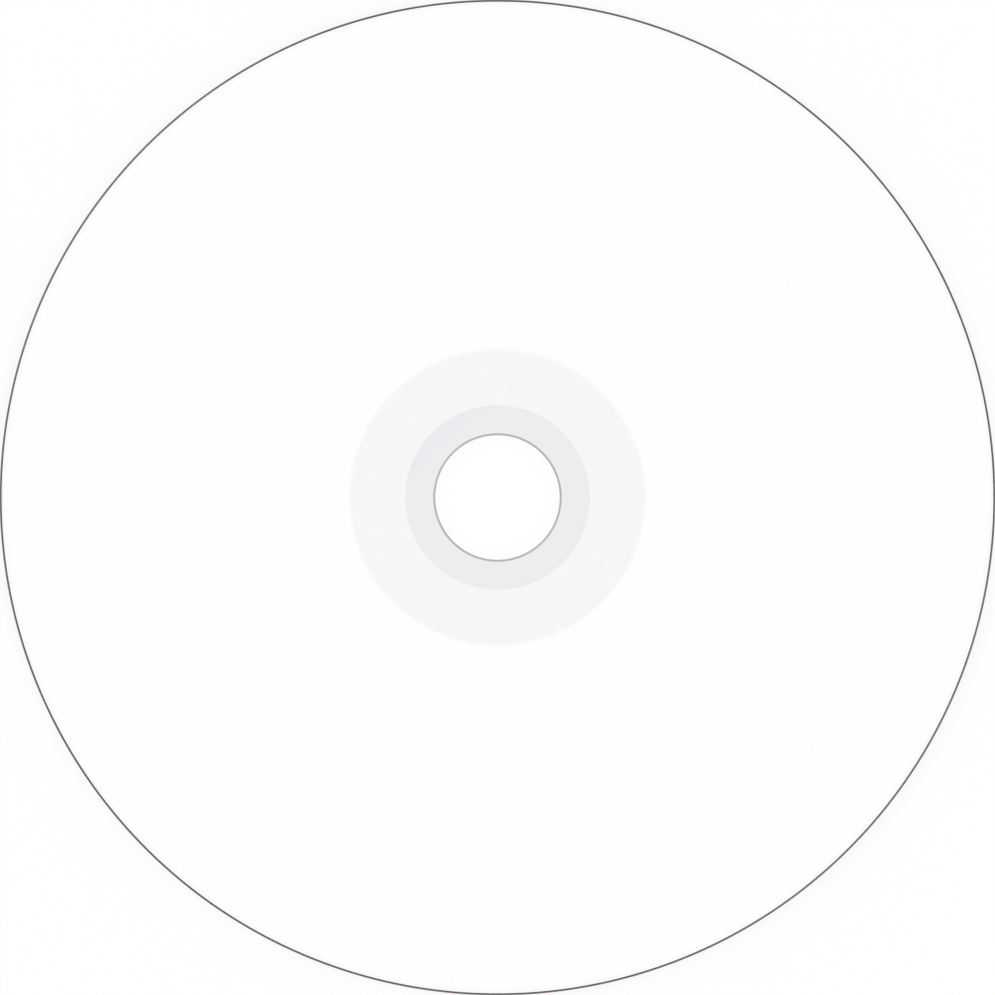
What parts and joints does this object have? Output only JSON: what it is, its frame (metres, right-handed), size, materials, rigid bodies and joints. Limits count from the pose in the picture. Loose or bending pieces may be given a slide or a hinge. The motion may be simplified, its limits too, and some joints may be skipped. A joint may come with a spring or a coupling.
{
  "type": "compact disc",
  "caption": "Round optical disc with a centre hole, a clear plastic hub, a mirrored read side and a blank matte white printable face.",
  "frame": {"origin": "on the axis of the centre hole, level with the foot of the stacking ring that the disc lies on", "axes": "+Z along the hole's axis, out of the white printable face; X and Y lie in the plane of the disc"},
  "size_m": [0.12, 0.12, 0.0015],
  "materials": {
    "clear_polycarbonate": "clear, polished by the mould, with a faint cool tint",
    "silver_film": "sputtered metal film seen through the clear disc",
    "white_coat": "matte white screened coat that takes ink"
  },
  "bodies": {
    "root": {"polycarbonate_disc": "clear_polycarbonate", "reflective_layer": "silver_film", "printable_coat": "white_coat"}
  },
  "joints": []
}
